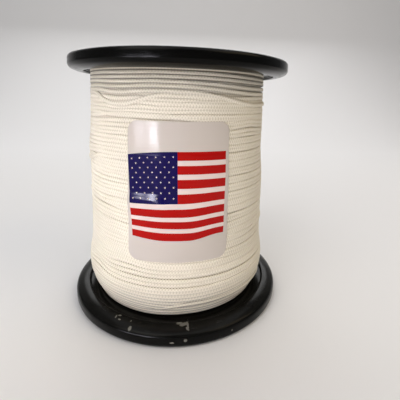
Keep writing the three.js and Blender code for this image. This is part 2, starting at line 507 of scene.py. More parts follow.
@dataclass(frozen=True)
class BraidedPolyester:
    """Polyester yarn, braided from six strands into a round string and left undyed.

    To the eye: cream white and matt with a soft sheen. Each strand is a small pillow that dips under the
    next. The crossings are pulled shut on the outside and gape where two turns meet, and the shade in these
    gaps is painted as a row of small dark specks. A speck comes every 1.2 mm, and those of one row lie
    between those of the next. The turns next to the flanges are greyed, and next to the upper flange this
    grey is painted shade under its overhang. Near both flanges each turn also gets painted shade on its lower
    side, where it tucks in above the turn below. Sizes and heights are in mm, and a place round the string is
    a share of its girth.
    """

    name: str
    turns: float
    colour: str = "#f6eedb"
    # The colour painted as shade in the gaps between the strands.
    shade: str = "#9c8965"
    specks_per_turn: float = 217.5
    strands: int = 3
    fibre_size: float = 0.25
    fuzz: float = 0.12
    relief: float = 0.09
    dip: float = 0.35
    hollow: tuple[float, float] = (0.25, 0.75)
    batch_size: float = 22.22
    batch_range: tuple[float, float] = (0.3, 0.7)
    batch_tones: tuple[float, float] = (0.96, 1.02)
    outward: float = 0.5
    shut: float = 0.3
    shut_side: tuple[float, float] = (0.1, 0.24)
    # Greys the turns next to both flanges; next to the upper flange this is painted shade under its overhang.
    soil: str = "#b3ab97"
    soil_low: tuple[float, float] = (10.0, 22.0)
    soil_high: tuple[float, float] = (106.0, 94.0)
    soil_share: float = 0.4
    # Painted shade on each turn's lower side next to the flanges.
    grime: str = "#5e5646"
    grime_share: float = 2.5
    wiped: float = 0.57
    wiped_side: tuple[float, float] = (0.1, 0.17)

    def material(self) -> bpy.types.Material:
        """The finish as a material that reads the string's own UV map: U along it and V round it."""
        constants = {"IOR": 1.5, "Roughness": 0.72, "Specular IOR Level": 0.3}
        sheen = {"Sheen Weight": 0.2, "Sheen Roughness": 0.45}
        material, shader, add = new_material(self.name, constants | sheen)
        own = add("UVMap", uv_map="UVMap")
        girth = add("SeparateXYZ", {0: own}, output="Y")
        place = add("TexCoord", output="Object")
        height = self.braid_height(add, own)
        clean = self.woven_colour(add, place, girth, height)
        colour = self.handled_colour(add, place, girth, clean)
        fibres = add("TexNoise", grain(place, self.fibre_size, 3.0, 0.6))
        fuzzy = add("Math", {0: fibres, 1: self.fuzz, 2: height}, operation="MULTIPLY_ADD")
        braid = add("Bump", {"Height": fuzzy, "Strength": 1.0, "Distance": self.relief * MM})
        set_inputs(shader, {"Base Color": colour, "Normal": braid})
        return material

    def braid_height(self, add: AddNode, own: Socket) -> Socket:
        """Adds the height of the braid, 0 in the gaps between strands and 1 on top of them.

        Args:
            add: Adds a node to the material.
            own: The string's UV map.

        Returns:
            The height of whichever strand is on top.
        """
        # A sixth of the way round is one row of crossings. Half a row more puts them where two turns meet.
        half_row = (0.0, 0.25 / self.strands, 0.0)
        along = add("VectorMath", {0: own, 1: half_row}, operation="ADD")
        cells = self.specks_per_turn * self.turns
        left, right = (
            add("VectorMath", {0: along, 1: (slant, self.strands, 0)}, operation="DOT_PRODUCT")
            for slant in (cells, -cells)
        )
        lefts = self.strand_height(add, left, right, 1.0)
        rights = self.strand_height(add, right, left, -1.0)
        return add("Math", {0: lefts, 1: rights}, operation="MAXIMUM")

    def strand_height(self, add: AddNode, own: Socket, other: Socket, sign: float) -> Socket:
        """Adds the height of the strands that run one way round.

        Args:
            add: Adds a node to the material.
            own: Counts these strands: whole numbers are the grooves between them.
            other: Counts the strands that run the other way.
            sign: 1 where the first strand starts on top, -1 where it starts below.

        Returns:
            The output with the height: round across each strand, and high and low in turn along it.
        """
        half_turn = add("Math", {0: own, 1: math.pi}, operation="MULTIPLY")
        wave = add("Math", {0: half_turn}, operation="SINE")
        ridge = add("Math", {0: wave}, operation="ABSOLUTE")
        strand = add("Math", {0: own}, operation="FLOOR")
        passed = add("Math", {0: other, 1: strand}, operation="ADD")
        phase = add("Math", {0: passed, 1: math.pi}, operation="MULTIPLY")
        weave = add("Math", {0: phase}, operation="SINE")
        over = add("Math", {0: weave, 1: sign * self.dip, 2: 1 - self.dip}, operation="MULTIPLY_ADD")
        return add("Math", {0: ridge, 1: over}, operation="MULTIPLY")

    @staticmethod
    def off_line(
        add: AddNode, girth: Socket, line: float, side: tuple[float, float], values: tuple[float, float]
    ) -> Socket:
        """Adds an eased change by how far round the string a point is from a line along it.

        Args:
            add: Adds a node to the material.
            girth: The place round the string.
            line: Where the line is.
            side: How far from the line the change starts and ends.
            values: The value at the line and the one away from it.

        Returns:
            The value's output.
        """
        offset = add("Math", {0: girth, 1: line}, operation="SUBTRACT")
        apart = add("Math", {0: offset}, operation="ABSOLUTE")
        return add("MapRange", span(apart, side, values), interpolation_type="SMOOTHSTEP")

    def woven_colour(self, add: AddNode, place: Socket, girth: Socket, height: Socket) -> Socket:
        """Adds the string's colour: painted shade in the gaps, and a little uneven from one length to the
        next.

        Args:
            add: Adds a node to the material.
            place: Object coordinates.
            girth: The place round the string.
            height: The height of the braid.

        Returns:
            The colour's output.
        """
        # Painted shade in the gaps between strands: faint on the outer face, full where two turns meet.
        gaping = self.off_line(add, girth, self.outward, self.shut_side, (self.shut, 1.0))
        hollow = add("MapRange", span(height, self.hollow, (1.0, 0.0)), interpolation_type="SMOOTHSTEP")
        dark = add("Math", {0: hollow, 1: gaping}, operation="MULTIPLY")
        woven = add("Mix", blend(dark, self.colour, self.shade), data_type="RGBA")
        batch = add("TexNoise", grain(place, self.batch_size, 2.0))
        tone = add("MapRange", span(batch, self.batch_range, self.batch_tones))
        return add("HueSaturation", {"Color": woven, "Value": tone})

    def handled_colour(self, add: AddNode, place: Socket, girth: Socket, clean: Socket) -> Socket:
        """Adds the grey next to the flanges, which under the upper flange is painted shade, and painted shade
        on each turn's lower side there.

        Args:
            add: Adds a node to the material.
            place: Object coordinates.
            girth: The place round the string.
            clean: The clean string's colour.

        Returns:
            The colour's output.
        """
        level = add("SeparateXYZ", {0: place}, output="Z")
        # Greys the turns toward both ends; toward the upper flange this is painted shade under its overhang.
        low, high = (
            add(
                "MapRange",
                span(level, (near * MM, far * MM), (self.soil_share, 0.0)),
                interpolation_type="SMOOTHSTEP",
            )
            for near, far in (self.soil_low, self.soil_high)
        )
        soiled = add("Math", {0: low, 1: high}, operation="MAXIMUM")
        greyed = add("Mix", blend(soiled, clean, self.soil), data_type="RGBA")
        # Painted shade on each turn's lower side, where it tucks in above the turn below.
        seam = self.off_line(add, girth, self.wiped, self.wiped_side, (0.0, self.grime_share))
        grimy = add("Math", {0: soiled, 1: seam}, operation="MULTIPLY")
        return add("Mix", blend(grimy, greyed, self.grime), data_type="RGBA")


@dataclass(frozen=True)
class PrintedVinyl:
    """Glossy vinyl film, printed with a flag of stars and stripes in flat inks under a clear coat.

    To the eye: off-white and shiny, with flat red and deep blue inks and a soft echo of the turns beneath.
    The flag is read from the film's print map: U runs across the flag and V down it, both from 0 to 1.
    Sizes are in mm.
    """

    ground: str = "#cdc3b8"
    white: str = "#e6d3ca"
    red: str = "#ac0300"
    blue: str = "#0d0346"
    roughness: float = 0.13
    specular: float = 0.21
    flag_width: float = 39.4
    flag_height: float = FLAG_HEIGHT
    red_stripe: float = 3.38
    white_stripe: float = 1.98
    canton_stripes: int = 7
    canton_share: float = 0.497
    star_columns: int = 12
    star_rows: int = 10
    star_radius: float = 0.42
    turn_spacing: float = 1.56
    turn_relief: float = 0.05
    turn_strength: float = 0.25
    turn_waver: float = 1.2
    swell_size: float = 9.0
    swell_depth: float = 0.2
    swell_strength: float = 0.5

    @property
    def canton_drop(self) -> float:
        """The canton's share of the flag's height: four red stripes and three white ones."""
        reds = (self.canton_stripes + 1) // 2
        return (reds * self.red_stripe + (self.canton_stripes - reds) * self.white_stripe) / self.flag_height

    def material(self) -> bpy.types.Material:
        """The finish as a material."""
        constants = {"IOR": 1.5, "Roughness": self.roughness, "Specular IOR Level": self.specular}
        material, shader, add = new_material("vinyl_film_gloss_printed", constants)
        sheet = add("UVMap", uv_map="print")
        across, down, _ = add("SeparateXYZ", {0: sheet}).node.outputs
        period = self.red_stripe + self.white_stripe
        stripes = add("Math", {0: down, 1: self.flag_height / period}, operation="MULTIPLY")
        band = add("Math", {0: stripes}, operation="FRACT")
        is_red = add("Math", {0: band, 1: self.red_stripe / period}, operation="LESS_THAN")
        is_left = add("Math", {0: across, 1: self.canton_share}, operation="LESS_THAN")
        is_high = add("Math", {0: down, 1: self.canton_drop}, operation="LESS_THAN")
        is_canton = add("Math", {0: is_left, 1: is_high}, operation="MULTIPLY")
        stars = self.star_mask(add, across, down)
        is_star = add("Math", {0: stars, 1: is_canton}, operation="MULTIPLY")
        colour: Socket | str = self.white
        for mask, ink in ((is_red, self.red), (is_canton, self.blue), (is_star, self.white)):
            colour = add("Mix", blend(mask, colour, ink), data_type="RGBA")
        on_width, on_height = (
            add("Math", {0: share, 1: 0.5, 2: 0.5}, operation="COMPARE") for share in (across, down)
        )
        is_flag = add("Math", {0: on_width, 1: on_height}, operation="MULTIPLY")
        printed = add("Mix", blend(is_flag, self.ground, colour), data_type="RGBA")
        set_inputs(shader, {"Base Color": printed, "Normal": self.relief(add)})
        return material

    def relief(self, add: AddNode) -> Socket:
        """Adds the film's slack swells, and the turns that show through it.

        Args:
            add: Adds a node to the material.

        Returns:
            The bent normal.
        """
        place = add("TexCoord", output="Object")
        swells = add("TexNoise", grain(place, self.swell_size, 1.0))
        swelling = {"Height": swells, "Strength": self.swell_strength, "Distance": self.swell_depth * MM}
        slack = add("Bump", swelling)
        fineness = WAVE_BAND / (self.turn_spacing * MM)
        bands = {"Vector": place, "Scale": fineness, "Distortion": self.turn_waver}
        ripple = add(
            "TexWave", bands | {"Detail": 1.0}, output="Fac", wave_type="BANDS", bands_direction="Z"
        )
        turns = {"Height": ripple, "Strength": self.turn_strength, "Distance": self.turn_relief * MM}
        return add("Bump", turns | {"Normal": slack})

    def star_mask(self, add: AddNode, across: Socket, down: Socket) -> Socket:
        """Adds fifty five-pointed stars: nine rows of six and five in turn.

        Args:
            add: Adds a node to the material.
            across: The place across the flag, 0 to 1.
            down: The place down the flag, 0 to 1.

        Returns:
            The output that is 1 on a star.
        """
        grid = (
            (across, self.star_columns, self.canton_share, self.flag_width),
            (down, self.star_rows, self.canton_drop, self.flag_height),
        )
        counts = [
            add("Math", {0: place, 1: count / share}, operation="MULTIPLY")
            for place, count, share, _ in grid
        ]
        masks = []
        # Stars on odd columns and rows fill the six-star rows, and those on even ones the five-star rows.
        for shift in (0.0, 1.0):
            offsets = []
            bounds = []
            for counted, (_, count, share, size) in zip(counts, grid):
                moved = add("Math", {0: counted, 1: 0.5, 2: shift / 2}, operation="MULTIPLY_ADD")
                cell = add("Math", {0: moved}, operation="FRACT")
                step = size * share / count
                offsets.append(add("Math", {0: cell, 1: 2 * step, 2: -step}, operation="MULTIPLY_ADD"))
                limits = {0: counted, 1: count / 2, 2: count / 2 - shift}
                bounds.append(add("Math", limits, operation="COMPARE"))
            mask = self.star(add, *offsets)
            for bound in bounds:
                mask = add("Math", {0: mask, 1: bound}, operation="MULTIPLY")
            masks.append(mask)
        return add("Math", {0: masks[0], 1: masks[1]}, operation="MAXIMUM")

    def star(self, add: AddNode, right: Socket, below: Socket) -> Socket:
        """Adds one five-pointed star, point up. Each edge is a straight line in a folded tenth of the circle.

        Args:
            add: Adds a node to the material.
            right: The distance to the right of its centre in mm.
            below: The distance below its centre in mm.

        Returns:
            The output that is 1 inside it.
        """
        edge_turn = 0.4 * math.pi
        up = add("Math", {0: below, 1: -1.0}, operation="MULTIPLY")
        spot = add("CombineXYZ", {0: right, 1: up})
        reach = add("VectorMath", {0: spot}, operation="LENGTH")
        angle = add("Math", {0: right, 1: up}, operation="ARCTAN2")
        fold = add("Math", {0: angle, 1: math.pi / 5}, operation="PINGPONG")
        lean = add("Math", {0: fold, 1: -edge_turn}, operation="ADD")
        slope = add("Math", {0: lean}, operation="COSINE")
        edge = add("Math", {0: reach, 1: slope}, operation="MULTIPLY")
        limit = self.star_radius * math.cos(edge_turn)
        return add("Math", {0: edge, 1: limit}, operation="LESS_THAN")


@dataclass(frozen=True)
class SpiralBoard:
    """Grey chipboard, wound in a spiral and glued: matt, fibrous, with a seam that climbs round the tube.

    In cream it stands for the wound mass of string too, which nothing shows. Sizes are in mm.
    """

    name: str = "chipboard_spiral_wound"
    colour: str = "#9a8d78"
    seam: str = "#6e6353"
    seam_share: float = 0.02
    ply_width: float = 38.0
    fibre_size: float = 0.8
    fibre_shade: float = 0.4
    fibre_relief: float = 0.1
    fibre_strength: float = 0.4

    def material(self) -> bpy.types.Material:
        """The finish as a material."""
        material, shader, add = new_material(self.name, {"IOR": 1.45, "Roughness": 0.9})
        place = add("TexCoord", output="Object")
        x, y, z = add("SeparateXYZ", {0: place}).node.outputs
        turn = add("Math", {0: y, 1: x}, operation="ARCTAN2")
        climbed = add("Math", {0: turn, 1: 1 / (2 * math.pi), 2: 0.5}, operation="MULTIPLY_ADD")
        plies = add("Math", {0: z, 1: 1 / (self.ply_width * MM), 2: climbed}, operation="MULTIPLY_ADD")
        ply = add("Math", {0: plies}, operation="FRACT")
        in_seam = add("Math", {0: ply, 1: self.seam_share}, operation="LESS_THAN")
        fibres = add("TexNoise", grain(place, self.fibre_size, 5.0))
        dark = add("Math", {0: fibres, 1: self.fibre_shade, 2: in_seam}, operation="MULTIPLY_ADD")
        colour = add("Mix", blend(dark, self.colour, self.seam), data_type="RGBA")
        bump = {"Height": fibres, "Strength": self.fibre_strength, "Distance": self.fibre_relief * MM}
        set_inputs(shader, {"Base Color": colour, "Normal": add("Bump", bump)})
        return material


@dataclass(frozen=True)
class StudioPaper:
    """Pale background paper on a roll: matt and smooth."""

    colour: str = "#eeeeef"

    def material(self) -> bpy.types.Material:
        """The finish as a material."""
        constants = {"Base Color": linear(self.colour), "Roughness": 0.95}
        material, _, _ = new_material("paper_matt_pale", constants)
        return material


# ---------- The flanges ----------


@dataclass
class FlangeMoulding:
    """One flange: a web with a raised rim towards the winding, hollow and ribbed on its outer side.

    It is shaped with its outer face down, and the upper one is then turned over. Sizes are in mm.
    """

    side: Side
    reel_height: float
    radius: float
    bore_radius: float = 8.0
    rim_height: float = 6.8
    rim_band: float = 6.4
    rim_wall: float = 3.2
    shoulder_width: float = 3.3
    shoulder_drop: float = 1.8
    lip_step: float = 1.4
    web_thickness: float = 2.4
    hub_wall: float = 3.4
    hub_set_back: float = 0.4
    spigot_outer: float = 15.65
    spigot_inner: float = 13.45
    spigot_length: float = 10.0
    sleeve_wall: float = 2.0
    rib_count: int = 8
    rib_thickness: float = 2.0
    rib_set_back: float = 0.8
    rib_edge: float = 0.35
    drive_hole_radius: float = 4.0
    drive_hole_offset: float = 27.0
    small_round: float = 0.3
    hub_round: float = 0.4
    hub_fillet: float = 0.6
    recess_fillet: float = 1.0
    foot_round: float = 1.8
    shoulder_outer_round: float = 2.0
    shoulder_inner_round: float = 9.0
    lip_round: float = 0.6
    lip_fillet: float = 0.5
    spigot_round: float = 0.6
    bold_round: float = 1.0
    bold_segments: int = 7
    fine_segments: int = 3
    hole_sides: int = 48
    sides: int = 180
    sharp_angle: float = 32.0

    @property
    def name(self) -> str:
        """The piece's name."""
        return f"{self.side.value}_flange_moulding"

    @property
    def node(self) -> str:
        """The CAD node that the piece stands for."""
        return f"{self.side.value}_flange"

    @property
    def web_inner(self) -> float:
        """The height of the web's face towards the winding."""
        return self.rim_height - self.lip_step

    @property
    def web_outer(self) -> float:
        """The height of the web's outer face."""
        return self.web_inner - self.web_thickness

    def build(self, material: bpy.types.Material) -> bpy.types.Object:
        """Makes the moulding.

        Args:
            material: The plastic.

        Returns:
            The piece.
        """
        body = self.turned_body()
        self.cut(body, self.ribs(), "UNION")
        self.cut(body, self.drive_hole(), "DIFFERENCE")
        if self.side is Side.UPPER:
            middle = (0, 0, self.reel_height / 2)
            bmesh.ops.rotate(body, cent=middle, matrix=Matrix.Rotation(math.pi, 3, "X"), verts=body.verts)
        close_mesh(body)
        piece = make_piece(self.name, body, material)
        piece.data.set_sharp_from_angle(angle=math.radians(self.sharp_angle))
        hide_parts(self.node)
        return piece

    def outline(self) -> list[tuple[float, float, float]]:
        """The section's corners: radius, height and the radius of the round on each, in mm.

        Returns:
            The corners in order, from the foot of the bore outwards.
        """
        lip = self.radius - self.rim_band
        hub = self.bore_radius + self.hub_wall
        sleeve = self.bore_radius + self.sleeve_wall
        recess = self.radius - self.rim_wall
        shoulder = self.radius - self.shoulder_width
        top = self.web_inner + self.spigot_length
        return [
            (self.bore_radius, self.hub_set_back, self.small_round),
            (hub, self.hub_set_back, self.hub_round),
            (hub, self.web_outer, self.hub_fillet),
            (recess, self.web_outer, self.recess_fillet),
            (recess, 0.0, self.small_round),
            (self.radius, 0.0, self.foot_round),
            (self.radius, self.rim_height - self.shoulder_drop, self.shoulder_outer_round),
            (shoulder, self.rim_height, self.shoulder_inner_round),
            (lip, self.rim_height, self.lip_round),
            (lip, self.web_inner, self.lip_fillet),
            (self.spigot_outer, self.web_inner, 0.0),
            (self.spigot_outer, top, self.spigot_round),
            (self.spigot_inner, top, self.small_round),
            (self.spigot_inner, self.web_inner, 0.0),
            (sleeve, self.web_inner, 0.0),
            (sleeve, top, self.small_round),
            (self.bore_radius, top, self.small_round),
        ]

    def turned_body(self) -> bmesh.types.BMesh:
        """Spins the rounded section about Z.

        Returns:
            The moulding without its ribs and drive hole.
        """
        bm = bmesh.new()
        outline = self.outline()
        corners = [bm.verts.new((radius, 0, height)) for radius, height, _ in outline]
        bm.faces.new(corners)
        places = [Vector((radius, height)) for radius, height, _ in outline]
        for index, (corner, (_, _, corner_round)) in enumerate(zip(corners, outline)):
            if corner_round <= 0:
                continue
            before = places[index] - places[index - 1]
            after = places[(index + 1) % len(places)] - places[index]
            # A round touches its two edges this far from the corner.
            tangent = corner_round * math.tan(before.angle(after) / 2)
            segments = self.fine_segments if corner_round < self.bold_round else self.bold_segments
            round_off(bm, [corner], tangent, segments, "VERTICES")
        bmesh.ops.delete(bm, geom=bm.faces[:], context="FACES_ONLY")
        spin_round(bm, self.sides)
        return bm

    def ribs(self) -> bmesh.types.BMesh:
        """The straight ribs between the hub and the rim, on the outer side.

        Returns:
            The ribs as separate bars whose ends lie inside both walls.
        """
        start = self.bore_radius + self.hub_wall / 2
        end = self.radius - self.rim_wall / 2
        height = self.web_outer + self.web_thickness / 2 - self.rib_set_back
        bm = bmesh.new()
        for index in range(self.rib_count):
            cube = bmesh.ops.create_cube(bm, size=1)["verts"]
            bmesh.ops.scale(bm, vec=(end - start, self.rib_thickness, height), verts=cube)
            lower = [e for e in bm.edges if all(v in cube and v.co.z < 0 for v in e.verts)]
            long_edges = [e for e in lower if abs(e.verts[0].co.x - e.verts[1].co.x) > self.rib_thickness]
            rounded = round_off(bm, long_edges, self.rib_edge, self.fine_segments, "EDGES")
            bar = list({v for v in cube if v.is_valid} | set(rounded))
            bmesh.ops.translate(bm, vec=((start + end) / 2, 0, self.rib_set_back + height / 2), verts=bar)
            turn = Matrix.Rotation((index + 0.5) * 2 * math.pi / self.rib_count, 3, "Z")
            bmesh.ops.rotate(bm, cent=(0, 0, 0), matrix=turn, verts=bar)
        close_mesh(bm)
        return bm

    def drive_hole(self) -> bmesh.types.BMesh:
        """The round cutter of the drive hole beside the hub."""
        bm = bmesh.new()
        bmesh.ops.create_cone(
            bm,
            cap_ends=True,
            segments=self.hole_sides,
            radius1=self.drive_hole_radius,
            radius2=self.drive_hole_radius,
            depth=4 * self.rim_height,
        )
        bmesh.ops.translate(bm, vec=(self.drive_hole_offset, 0, 0), verts=bm.verts)
        return bm

    @staticmethod
    def cut(body: bmesh.types.BMesh, tool: bmesh.types.BMesh, operation: str) -> None:
        """Joins or cuts one shape with another, by an exact Boolean modifier that is applied at once.

        Args:
            body: The shape that changes.
            tool: The other shape, which is freed.
            operation: "UNION" or "DIFFERENCE".
        """
        shapes = (("boolean_body", body), ("boolean_tool", tool))
        helpers = [new_object(name, new_mesh(name, bm)) for name, bm in shapes]
        modifier = helpers[0].modifiers.new("cut", "BOOLEAN")
        modifier.operation = operation
        modifier.solver = "EXACT"
        modifier.object = helpers[1]
        take_result(body, helpers[0], helpers)
        tool.free()


# ---------- The string ----------


@dataclass(frozen=True)
class Stray:
    """A stretch of the outer layer that leaves its place and rides over its neighbours.

    Attributes:
        height: The height in mm of the turn that strays.
        azimuth: The middle of the stretch in degrees.
        hold: Half of the stretch that lies fully aside, in degrees.
        ramp: How many degrees it takes to move over at each end.
        shift: How far it moves up, or down, in mm.
        lift: How far it is pushed out in mm.
    """

    height: float
    azimuth: float
    hold: float
    ramp: float
    shift: float
    lift: float

    def share(self, azimuth: float) -> float:
        """How far the stretch has moved over at an azimuth, from 0 to 1."""
        return 1 - smoothstep(self.hold, self.hold + self.ramp, abs(wrap(azimuth - self.azimuth)))


@dataclass(frozen=True)
class Sag:
    """A place where some turns lie above or below their even places, as a hand-guided winder leaves them.

    Attributes:
        azimuth: Its middle in degrees.
        height: Its middle's height in mm.
        rise: How far the turns are moved up there, or down where it is negative, in mm.
        spread: How far it reaches round the reel to each side, in degrees.
        reach: How far it reaches up and down, in mm.
    """

    azimuth: float
    height: float
    rise: float
    spread: float
    reach: float

    def shift(self, height: float, azimuth: float) -> float:
        """How far it moves a turn at a height and an azimuth, in mm."""
        beside = bell(wrap(azimuth - self.azimuth), self.spread)
        return self.rise * beside * bell(height - self.height, self.reach)


@dataclass(frozen=True)
class DriftWave:
    """A slow wave that all the turns follow, and that moves round the reel from one height to the next.

    Attributes:
        rise: How high it is.
        count: How many of them go round the reel.
        length: The height in mm over which it moves by one wave, negative where it moves the other way.
        start: Where it starts, in radians.
    """

    rise: float
    count: int
    length: float
    start: float

    def shift(self, height: float, azimuth: float) -> float:
        """How far it moves a turn at a height and an azimuth."""
        angle = self.count * math.radians(azimuth)
        return self.rise * math.sin(angle + 2 * math.pi * height / self.length + self.start)


@dataclass
class WindingForm:
    """The outer surface of the winding: fuller low down, drawn in at the foot and narrower at the top. In mm.

    The right side is wound tighter than the left, most of all high up.
    """

    low: float = 5.7
    high: float = 107.3
    middle_radius: float = 42.2
    top_taper: float = 1.2
    taper_start: float = 55.0
    belly: float = 1.6
    belly_height: float = 19.5
    belly_width: float = 8.0
    foot_tuck: float = 2.4
    foot_width: float = 4.5
    lean: float = 0.4
    lean_start: float = 58.0
    lean_end: float = 76.0
    left_swell: float = 0.5
    left_height: float = 73.3
    left_width: float = 5.0
    right_dip: float = 0.5
    right_height: float = 73.0
    right_width: float = 9.0
    swell_azimuth: float = 75.0
    swell_spread: float = 40.0

    def radius(self, height: float, azimuth: float) -> float:
        """The distance from the axis to the outside of the turns.

        Args:
            height: The height in mm.
            azimuth: The azimuth in degrees.

        Returns:
            The radius in mm.
        """
        reach = self.middle_radius
        reach -= self.top_taper * smoothstep(self.taper_start, self.high, height)
        reach += self.belly * bell(height - self.belly_height, self.belly_width)
        reach -= self.foot_tuck * bell(height - self.low, self.foot_width)
        leaning = self.lean * (1 + smoothstep(self.lean_start, self.lean_end, height))
        reach -= leaning * math.sin(math.radians(azimuth))
        left = bell(wrap(azimuth + self.swell_azimuth), self.swell_spread)
        right = bell(wrap(azimuth - self.swell_azimuth), self.swell_spread)
        reach += self.left_swell * left * bell(height - self.left_height, self.left_width)
        reach -= self.right_dip * right * bell(height - self.right_height, self.right_width)
        return reach


@dataclass
class StringLayer:
    """One layer of turns, made of a single unbroken string. In mm and degrees.

    The unevenness is a share: 1 for the outer layer, and 0 for a layer that hardly shows.
    """

    name: str
    form: WindingForm
    diameter: float
    turns: int
    depth: float
    steps: int
    sides: int
    strays: tuple[Stray, ...] = ()
    sags: tuple[Sag, ...] = ()
    wander: float = 0.0
    unevenness: float = 0.0
    flatness: float = 1.17
    squareness: float = 2.6
    drift_waves: tuple[DriftWave, ...] = (
        DriftWave(0.34, 1, 12.5, 0.4),
        DriftWave(0.2, 2, -8.3, 1.7),
        DriftWave(0.3, 1, -31.0, 2.9),
    )
    steady_ends: float = 9.0
    unsteady_rates: tuple[float, ...] = (0.618, 1.381, 2.236)
    unsteady_peak: float = 1.8
    jitter: float = 0.1
    jitter_seed: float = 2.1
    sinking: float = 0.13
    mean_sinking: float = 0.1
    sinking_seed: float = 5.3
    pairing: float = 0.065
    pairing_start: float = 0.25
    parting: float = 0.16
    parted_up_to: float = 17.0
    parting_fade: float = 4.0
    lifted_by: float = 0.7
    closing_turns: float = 3.0
    giving_way: float = 0.35
    climb: float = 0.2
    tail: float = 0.04
    burying: float = 1.6
    film_half_width: float = 28.0
    film_side: float = 8.0
    film_low: float = 31.0
    film_high: float = 88.0
    film_margin: float = 3.0

    @property
    def thickness(self) -> float:
        """How thick the string is away from the axis, where the winding's pull has flattened it."""
        return self.diameter / self.flatness

    @property
    def pitch(self) -> float:
        """The distance from one turn to the next."""
        return (self.form.high - self.form.low - self.diameter) / (self.turns - 1)

    def wound_height(self, turn: float) -> float:
        """The height of the string's middle: level round the front, and up a pitch at the back.

        Args:
            turn: How many turns have been laid, counted at the back.

        Returns:
            The height in mm.
        """
        crossing = min(max(round(turn), 0), self.turns)
        if crossing == 0:
            laid = 0.0
        elif crossing == self.turns:
            laid = self.turns - 1.0
        else:
            laid = crossing - 1 + smoothstep(-self.climb, self.climb, turn - crossing)
        return self.form.low + self.diameter / 2 + laid * self.pitch

    def drift(self, height: float, azimuth: float) -> float:
        """How far whole groups of turns lie above or below their even places.

        Args:
            height: The height in mm.
            azimuth: The azimuth in degrees.

        Returns:
            The shift in mm, none at the flanges.
        """
        ends = smoothstep(self.form.low, self.form.low + self.steady_ends, height)
        ends *= 1 - smoothstep(self.form.high - self.steady_ends, self.form.high, height)
        waves = sum(wave.shift(height, azimuth) for wave in self.drift_waves)
        return ends * (self.wander * waves + sum(sag.shift(height, azimuth) for sag in self.sags))

    def unsteadiness(self, turn: float, seed: float) -> float:
        """A smooth, uneven wave along the string, from about -1 to 1.

        Args:
            turn: How many turns have been laid.
            seed: Picks the wave.

        Returns:
            Its value there.
        """
        total = 0.0
        for index, rate in enumerate(self.unsteady_rates, start=1):
            total += math.sin(2 * math.pi * rate * turn + seed * index) / index
        return total / self.unsteady_peak

    def under_film(self, height: float, azimuth: float) -> float:
        """How far a place lies under the film, which keeps the turns even: 1 under it and 0 off it."""
        share = 1 - smoothstep(self.film_half_width, self.film_half_width + self.film_side, abs(azimuth))
        share *= smoothstep(self.film_low - self.film_margin, self.film_low, height)
        return share * (1 - smoothstep(self.film_high, self.film_high + self.film_margin, height))

    def moved_by(self, stray: Stray, share: float, laid: float, height: float) -> tuple[float, float]:
        """How a stray moves the string at a place near it.

        Args:
            stray: The stretch that strays.
            share: How far it has moved over here.
            laid: The height that the string was laid at, which tells whether it is the stray itself.
            height: The height that it lies at so far.

        Returns:
            Its new height, and how far it moves inwards.
        """
        away = laid - stray.height
        if abs(away) <= self.pitch / 2:
            return height + stray.shift * share, -stray.lift * smoothstep(0.0, self.lifted_by, share)
        # The turns on both sides close the slot that the stray left, and give way under it.
        fading = math.exp(1 / self.closing_turns - abs(away) / (self.closing_turns * self.pitch))
        height -= math.copysign(0.5 * self.pitch * share * fading, away)
        crossed = height - (stray.height + stray.shift * share)
        return height, self.giving_way * stray.lift * share * bell(crossed, self.diameter)

    def point(self, turn: float) -> Vector:
        """The string's middle after some turns.

        Args:
            turn: How many turns have been laid.

        Returns:
            The point in mm.
        """
        azimuth = wrap(180 + 360 * turn)
        laid = self.wound_height(turn)
        height = laid + self.drift(laid, azimuth)
        height += self.jitter * self.unevenness * self.unsteadiness(turn, self.jitter_seed)
        # On the right the turns lie together in twos, and they part again round to the left.
        paired = self.pairing * math.sin(math.pi * (turn - self.pairing_start))
        height += paired * self.unevenness * self.pitch
        loose = self.unevenness * (1 - self.under_film(laid, azimuth))
        uneven = self.sinking * self.unsteadiness(turn, self.sinking_seed) + self.mean_sinking
        sunk = self.depth + loose * uneven
        for stray in self.strays:
            share = stray.share(azimuth)
            if share > 0:
                height, inwards = self.moved_by(stray, share, laid, height)
                sunk += inwards
        low_end = 1 - smoothstep(-self.tail, self.tail, turn)
        high_end = smoothstep(self.turns - self.tail, self.turns + self.tail, turn)
        sunk += self.burying * self.diameter * (low_end + high_end)
        height = min(max(height, self.form.low + self.diameter / 2), self.form.high - self.diameter / 2)
        return on_drum(self.form.radius(height, azimuth) - sunk - self.thickness / 2, azimuth, height)

    def route(self) -> list[Vector]:
        """The string's middle line, from its buried lower end to its buried upper end."""
        first = round(-self.tail * self.steps)
        last = round((self.turns + self.tail) * self.steps)
        return [self.point(step / self.steps) for step in range(first, last + 1)]

    def fullness(self, height: float) -> float:
        """The string's share of its full section: it is pulled slim near the foot, where the turns part."""
        slim = 1 - smoothstep(self.parted_up_to - self.parting_fade, self.parted_up_to, height)
        return 1 - self.parting * self.unevenness * slim

    def section(self) -> bpy.types.Object:
        """Draws the string's section: round, but pressed flat against its neighbours.

        Returns:
            A helper curve, which starts on the side that faces the axis.
        """
        curve = bpy.data.curves.new(f"{self.name}_section", "CURVE")
        curve.dimensions = "2D"
        outline = curve.splines.new("POLY")
        outline.points.add(self.sides - 1)
        outline.use_cyclic_u = True
        half_thick, half_wide = self.thickness / 2, self.diameter * self.flatness / 2
        for index, node in enumerate(outline.points):
            angle = 2 * math.pi * index / self.sides + math.pi
            parts = (math.cos(angle), math.sin(angle))
            out, up = (math.copysign(abs(part) ** (2 / self.squareness), part) for part in parts)
            node.co = (half_thick * out, half_wide * up, 0, 1)
        return new_object(curve.name, curve)

